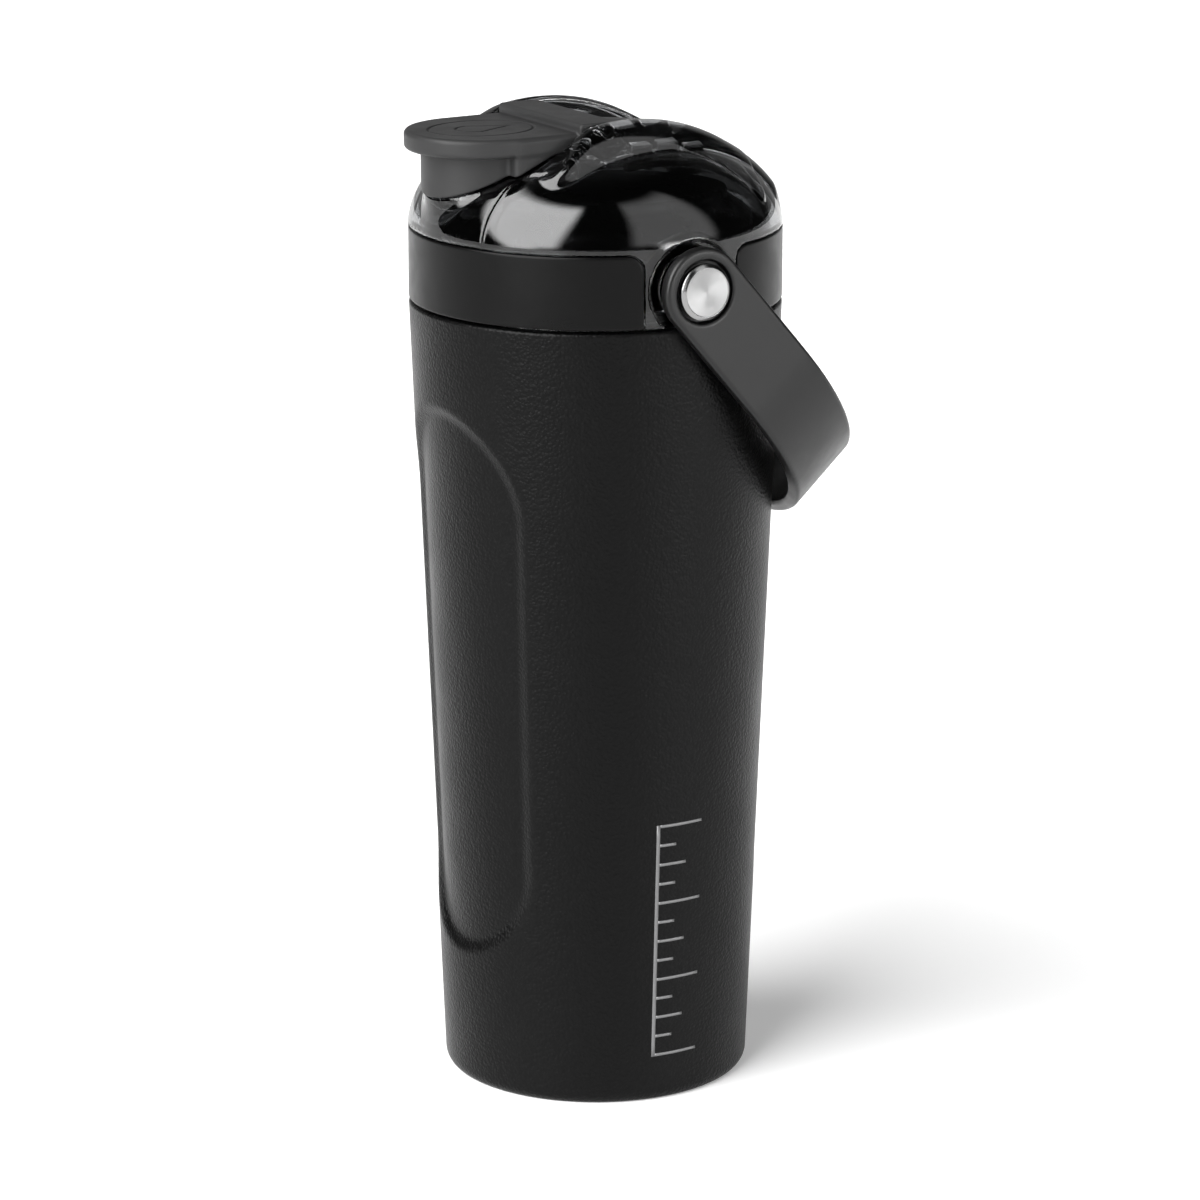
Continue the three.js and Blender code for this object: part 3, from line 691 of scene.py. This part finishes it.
def cheek(x, y, z):
    """A shouldered disc about an axis along X, on both sides, cut off by a slope in front of the hinge."""
    radius, drop, inner, outer = 52, 7, 20, 27.6
    centre_y, centre_z = -3, 184.7
    away = np.hypot(y - centre_y, z - centre_z) - (radius - drop)
    aside = np.abs(x) - inner
    shoulder = ellipse(np.maximum(aside, 0) + 1e-3, np.maximum(away, 0) + 1e-3, outer - inner, drop)
    core = np.maximum(aside - (outer - inner), away - drop)
    disc = np.where((aside > 0) & (away > 0), shoulder, core)
    rise, run, slope_y, slope_z = 7.4, 9.4, -23.9, 228.2
    slope = ((z - slope_z) * run - (y - slope_y) * rise) / math.hypot(rise, run)
    corner, margin = 8.0, 1.0
    middle, reach = (CHEEK_TIP + CHEEK_REAR) / 2, (CHEEK_REAR - CHEEK_TIP) / 2
    front = rounded_box(x, np.minimum(y - middle, 0), outer + margin, reach, corner)
    plan = both(np.maximum(front, y - CHEEK_REAR), np.hypot(x, y) - BODY_RADIUS + margin, 2.0)
    return both(both(disc, slope, 1.2), plan, 1.5)


def deck_block(x, y, z):
    """The block under the cap that carries the deck, round in front."""
    radius, half, rear_end = 13.6, 17.6, -16
    front = np.hypot(x, y - CAP_Y) - radius
    rear = np.maximum(np.abs(x) - half, span(y, CAP_Y, rear_end))
    return np.maximum(either(front, rear, 2.0), BAND_TOP + 1 - z)


def smooth_share(value, low, high):
    """0 below low, 1 above high, and smooth between them."""
    share = np.clip((value - low) / (high - low), 0, 1)
    return share * share * (3 - 2 * share)


def ledge(x, y, z):
    """The edge of the clear top layer: a low step on the dome round the cheeks."""
    half = 17.5 + 9.8 * smooth_share(y, -33, -20) + 7.5 * smooth_share(y, 3, 25)
    outline = both(np.abs(x) - half, y - 27, 3.5)
    return both(np.maximum(dome(x, y, z, -0.45), BAND_TOP + 1 - z), outline, 0.35)


def band_outline(y, z, grow=0.0):
    """Where a band is, seen along X: both sides of the window, its upper corners rounded."""
    return both(12.5 - grow - np.abs(y), z - BAND_TOP - grow, 3.5 + grow)


def pivot_boss(x, y, z):
    """The round seats of the pivots, in the windows between the bands."""
    radius, inner, outer, bottom = 12.2, 38.3, 43.5, 195.2
    seat = np.maximum(np.hypot(y, z - PIVOT_Z) - radius, span(np.abs(x), inner, outer))
    return np.maximum(seat, np.maximum(dome(x, y, z, 0.2), bottom - z))


def spout_hole(x, y, z, bottom):
    return np.maximum(np.hypot(x, y - SPOUT_Y) - SPOUT_HOLE, bottom - z)


def cheek_cells(x, y, z):
    """The pockets moulded into the inner side of each cheek."""
    found = None
    for front, back, top in ((-20, -14, 229), (-5.5, 0, 231), (1.5, 7, 231), (8.5, 14, 229.5)):
        plan = both(span(y, front, back), span(np.abs(x), 21.3, 25), 0.6)
        cell = both(plan, span(z, 222, top), 0.3)
        found = cell if found is None else np.minimum(found, cell)
    return found


def lid_shell(x, y, z):
    wall = 3.0
    upper = either(dome(x, y, z), ledge(x, y, z), 0.25)
    upper = either(upper, either(cheek(x, y, z), deck_block(x, y, z)), 1.0)
    outside = cut(both(upper, LID_BOTTOM - z, 0.3), channel(x, y, z), 0.6)
    hollow = cut(dome(x, y, z, wall), channel(x, y, z, wall - 0.6), 1.0)
    shell = cut(outside, hollow, 0.2)
    shell = either(shell, pivot_boss(x, y, z), 0.4)
    band_depth, beyond = BAND_WALL + GAP, 2
    band_ring = span(np.hypot(x, y), BODY_RADIUS - band_depth, BODY_RADIUS + beyond)
    shell = cut(shell, np.maximum(band_ring, band_outline(y, z, GAP)), 0.15)
    aside = np.abs(x)
    pivot = np.hypot(y, z - PIVOT_Z)
    recess, recess_floor, bore, bore_start, bore_end = 11.2, 42.6, 4.9, 37, 43.5
    shell = cut(shell, np.maximum(pivot - recess, recess_floor - aside), 0.35)
    shell = cut(shell, np.maximum(pivot - bore, span(aside, bore_start, bore_end)))
    pin_end, hole_bottom = 22.1, 205
    pin = np.maximum(np.hypot(y - HINGE_Y, z - HINGE_Z) - PIN_BORE, aside - pin_end)
    shell = cut(cut(shell, pin), spout_hole(x, y, z, hole_bottom), 0.4)
    return cut(shell, cheek_cells(x, y, z), 0.2)


def make_lid_shell():
    low, high = box_mm("lid_shell")
    side = BODY_RADIUS
    made = moulded("lid_dome", lid_shell, (-side, -side, low.z), (side, side, high.z), 0.48)
    dress(made, "lid", "smoked_clear", "lid_shell")


def thread(x, y, z, root, tip, bottom):
    """Two ridges of trapezoid section wound right-handed about Z, on the outside of a wall."""
    lead, height, root_width, tip_width = 8, 4.6, 1.9, 1.2
    radius = np.hypot(x, y)
    sweep = 2 * np.pi * (height - tip_width) / lead
    width = root_width + (tip_width - root_width) * (radius - root) / (tip - root)
    found = None
    for start in (0, np.pi):
        along = np.mod(np.arctan2(y, x) - start, 2 * np.pi)
        middle = bottom + lead * along / (2 * np.pi)
        ridge = both(np.abs(z - middle) - width / 2, span(radius, root, tip), 0.2)
        ridge = np.maximum(ridge, (along - sweep) * tip)
        found = ridge if found is None else np.minimum(found, ridge)
    return found


def lid_core(x, y, z):
    """The threaded collar, the flange on the flask's mouth, and the low crown under the dome."""
    radius = np.hypot(x, y)
    wall, crown_radius, crown_rise, crown_z, crown_top = 2.2, 37.4, 10.5, 210, 219.9
    collar, collar_bottom, collar_top = 38.4, 178, 193
    flange_radius, flange_bottom, flange_top = 41, 192.9, 194.9
    step_radius, step_bottom, step_top = 31, 205, 218.2
    rise = np.maximum(z - crown_z, 0)
    crown = ellipse(radius, rise, crown_radius, crown_rise)
    outside = either(crown, np.maximum(radius - collar, z - collar_top), 0.3)
    outside = both(both(outside, collar_bottom - z, 0.5), z - crown_top, 1.5)
    flange = both(radius - flange_radius, span(z, flange_bottom, flange_top), 0.3)
    step = both(radius - step_radius, span(z, step_bottom, step_top), 0.8)
    outside = either(either(outside, flange, 0.3), step, 0.6)
    outside = either(outside, thread(x, y, z, collar - 0.4, collar + 1.2, collar_bottom + 1))
    inside = ellipse(radius, rise, crown_radius - wall, crown_rise - wall)
    inside = np.maximum(inside, z - crown_top + wall)
    inside = either(inside, np.maximum(radius - collar + wall, z - flange_top))
    hole_bottom = 200
    return cut(cut(outside, inside, 0.3), spout_hole(x, y, z, hole_bottom), 0.3)


def make_lid_core():
    made = moulded("lid_funnel", lid_core, (-41, -41, 178), (41, 41, 220), 0.6)
    dress(made, "lid", "black_plastic", "lid_core")


def make_bands():
    for name, side in (("front", -1), ("rear", 1)):
        def band(x, y, z, side=side):
            ring = both(span(np.hypot(x, y), BODY_RADIUS - BAND_WALL, BODY_RADIUS), LID_BOTTOM - z, 0.35)
            return both(ring, np.maximum(band_outline(y, z), -side * y), 0.4)

        reach = sorted((side * 12, side * BODY_RADIUS))
        low, high = (-BODY_RADIUS, reach[0], LID_BOTTOM), (BODY_RADIUS, reach[1], BAND_TOP)
        made = moulded(f"band_{name}", band, low, high, 0.4)
        dress(made, "lid", "satin_plastic", f"lid_band_{name}")


def make_saddle():
    low, high = box_mm("lid_saddle")

    def saddle(x, y, z):
        top = np.maximum(dome(x, y, z), saddle_dome(x, y, z))
        strip = both(np.abs(x) - high.x, span(y, low.y, high.y), 1.2)
        return both(both(strip, top, 0.6), -saddle_dome(x, y, z, SADDLE_THICKNESS), 0.3)

    made = moulded("saddle", saddle, low, high, 0.42)
    dress(made, "lid", "matte_grey", "lid_saddle")


def make_spout():
    low, high = box_mm("spout")
    bore = 6.2
    section = [(bore, low.z, 0.3), (high.x, low.z, 0.3), (high.x, high.z, 0.9), (bore, high.z, 0.7)]
    made = turned("spout_tube", rounded(section, 0.4, 6), 72, centre=(0, SPOUT_Y, 0))
    dress(made, "lid", "smoked_clear", "spout")


# ---- flip cap -----------------------------------------------------------------------------------
def cap_mark(x, y):
    """A plain drop in an oval ring, as lines in the cap's top."""
    middle, half_line = CAP_Y - 0.2, 0.3
    ring = np.abs(ellipse(x, y - middle, 10.6, 12.8)) - half_line
    bulb_radius, bulb_y, tip = 4.0, middle - 2.2, middle + 7.6
    bulb = np.hypot(x, y - bulb_y) - bulb_radius
    lean = 0.85 * math.atan2(bulb_radius, tip - middle)
    flank = np.abs(x) * math.cos(lean) - (tip - y) * math.sin(lean)
    drop = np.abs(either(bulb, np.maximum(flank, bulb_y - y))) - half_line
    return np.minimum(ring, drop)


def flip_cap(x, y, z):
    """The cap, shut: a tongue of a plate on a hollow skirt, with the hinge bar across its back."""
    top, under, lip, skirt_radius = 234.2, 229.7, 18.2, 14.3
    plate_end, side_front, side_back, skirt_drop = -12, -32, -13, 1.0
    aside = np.abs(x)
    round_front = np.hypot(x, y - CAP_Y)
    tongue = np.hypot(x, np.minimum(y - CAP_Y, 0)) - lip
    plate = both(both(tongue, span(z, under, top), 1.1), y - plate_end, 0.3)
    sides = both(aside - lip, span(y, side_front, side_back), 1.4)
    skirt = both(either(round_front - skirt_radius, sides, 1.2), z - top + skirt_drop, 0.1)
    bar_y, bar_z, bar_half_y, bar_half_z, bar_half = -10.05, 233.95, 5.35, 2.35, 19
    bar = both(rounded_box(y - bar_y, z - bar_z, bar_half_y, bar_half_z, 1.0), aside - bar_half, 0.4)
    cap = either(either(plate, skirt, 0.8), bar, 0.6)
    hollow_radius, hollow_half, hollow_end, hollow_top = 12.3, 14.8, -18, 231.4
    behind = np.maximum(aside - hollow_half, span(y, CAP_Y, hollow_end))
    hollow = both(either(round_front - hollow_radius, behind, 0.5), z - hollow_top, 0.5)
    lift, mark_depth = 0.4, 0.3
    cap = both(cut(cap, hollow, 0.3), above_deck(y, z, -lift, -GAP), 0.25)
    cap = cut(cap, np.hypot(y - HINGE_Y, z - HINGE_Z) - PIN_BORE, 0.3)
    return cut(cap, np.maximum(cap_mark(x, y), top - mark_depth - z), 0.1)


def make_cap():
    low, high = box_mm("flip_cap")
    made = moulded("cap", flip_cap, low, high, 0.3)
    dress(made, "cap", "matte_grey", "flip_cap")


def make_plug():
    outline = rounded([
        (0, 228.6, 0), (5.0, 228.6, 0.7), (5.6, 230.3, 0.3),
        (8.6, 230.3, 0.25), (8.6, 231.1, 0.25), (0, 231.1, 0),
    ], 0.3)
    made = turned("seal_plug", outline, 64, centre=(0, SPOUT_Y, 0))
    dress(made, "cap", "silicone", "cap_plug")


def make_hinge_pin():
    half, radius = 21.8, 1.5
    outline = rounded([(0, -half, 0), (radius, -half, 0.4), (radius, half, 0.4), (0, half, 0)], 0.4)
    made = turned("hinge_pin", outline, 48, "+x", centre=(0, HINGE_Y, HINGE_Z))
    dress(made, "lid", "polished_steel", "cap_hinge_pin")


# ---- strap and its pivots -----------------------------------------------------------------------
HANG = math.radians(48.7)


def strap(x, along, across):
    """The strap in its own frame: `along` from the pivots to the bend, `across` over its width."""
    middle, thickness, width, leg, edge = 47.3, 3.4, 20.4, 30.6, 0.95
    bore, recess, recess_floor = 3.4, 7.5, 47.0
    bend = np.hypot(x, np.maximum(along - leg, 0))
    from_end = np.hypot(np.minimum(along, 0), across)
    band = both(np.abs(bend - middle) - thickness / 2, from_end - width / 2, edge)
    pivot = np.hypot(along, across)
    band = cut(band, pivot - bore, 0.2)
    return cut(band, np.maximum(pivot - recess, recess_floor - np.abs(x)), 0.5)


def make_strap():
    def place(points):
        x, along, across = points.T
        y = along * math.cos(HANG) + across * math.sin(HANG)
        z = PIVOT_Z - along * math.sin(HANG) + across * math.cos(HANG)
        return np.stack([x, y, z], 1)

    made = moulded("strap", strap, (-49, -10.2, -10.2), (49, 79.6, 10.2), 0.5, place)
    weld(made)
    dress(made, "strap", "strap_plastic", "carry_strap")


def make_pivots():
    """On each side a screw with a button head, the bush that the strap turns on, and an insert."""
    centre = (0, 0, PIVOT_Z)
    for suffix, axis in (("right", "+x"), ("left", "-x")):
        head = rounded([
            (0, 38.8, 0), (2.7, 38.8, 0.3), (3, 39.3, 0.2), (3, 47.3, 0.2), (6.65, 47.3, 0.25),
            (6.65, 49.2, 0.2), (5.75, 50, 0.15), (5.5, 49.85, 0.1), (0, 49.85, 0),
        ], 0.3, 5)
        button = turned(f"button_{suffix}", head, 128, axis, centre)
        look = button_steel(f"button_{suffix}", PIVOT_Z)
        dress(button, "lid", "button_steel", f"pivot_screw_{suffix}", look=look)
        section = rounded([(3.3, 42.9), (8.2, 42.9), (8.2, 45.3), (3.3, 45.3)], 0.35)
        bush = turned(f"bush_{suffix}", section, 96, axis, centre)
        dress(bush, "lid", "polished_steel", f"pivot_bush_{suffix}")
        section = rounded([(3.3, 38.6), (4.6, 38.6), (4.6, 42.3), (3.3, 42.3)], 0.3)
        insert = turned(f"insert_{suffix}", section, 64, axis, centre)
        dress(insert, "lid", "brass", f"pivot_insert_{suffix}")


# ---- inner pieces kept as CAD made them ---------------------------------------------------------
def dress_cad_nodes():
    kept = {
        "inner_flask": "flask_steel",
        "vacuum_getter": "flask_steel",
        "lid_gasket": "silicone",
        "agitator": "black_plastic",
    }
    for name, slot in kept.items():
        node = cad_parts[name]
        node.data.materials.clear()
        node.data.materials.append(LOOKS[slot])
        bevel = node.modifiers.new("edge", "BEVEL")
        bevel.width = 0.2 * MM
        bevel.segments = 2
        bevel.limit_method = "ANGLE"
        bevel.angle_limit = math.radians(40)


make_camera()
make_floor()
make_light()
make_body()
make_etched_scale()
make_base_plate()
make_lid_shell()
make_lid_core()
make_bands()
make_saddle()
make_spout()
make_cap()
make_plug()
make_hinge_pin()
make_strap()
make_pivots()
dress_cad_nodes()
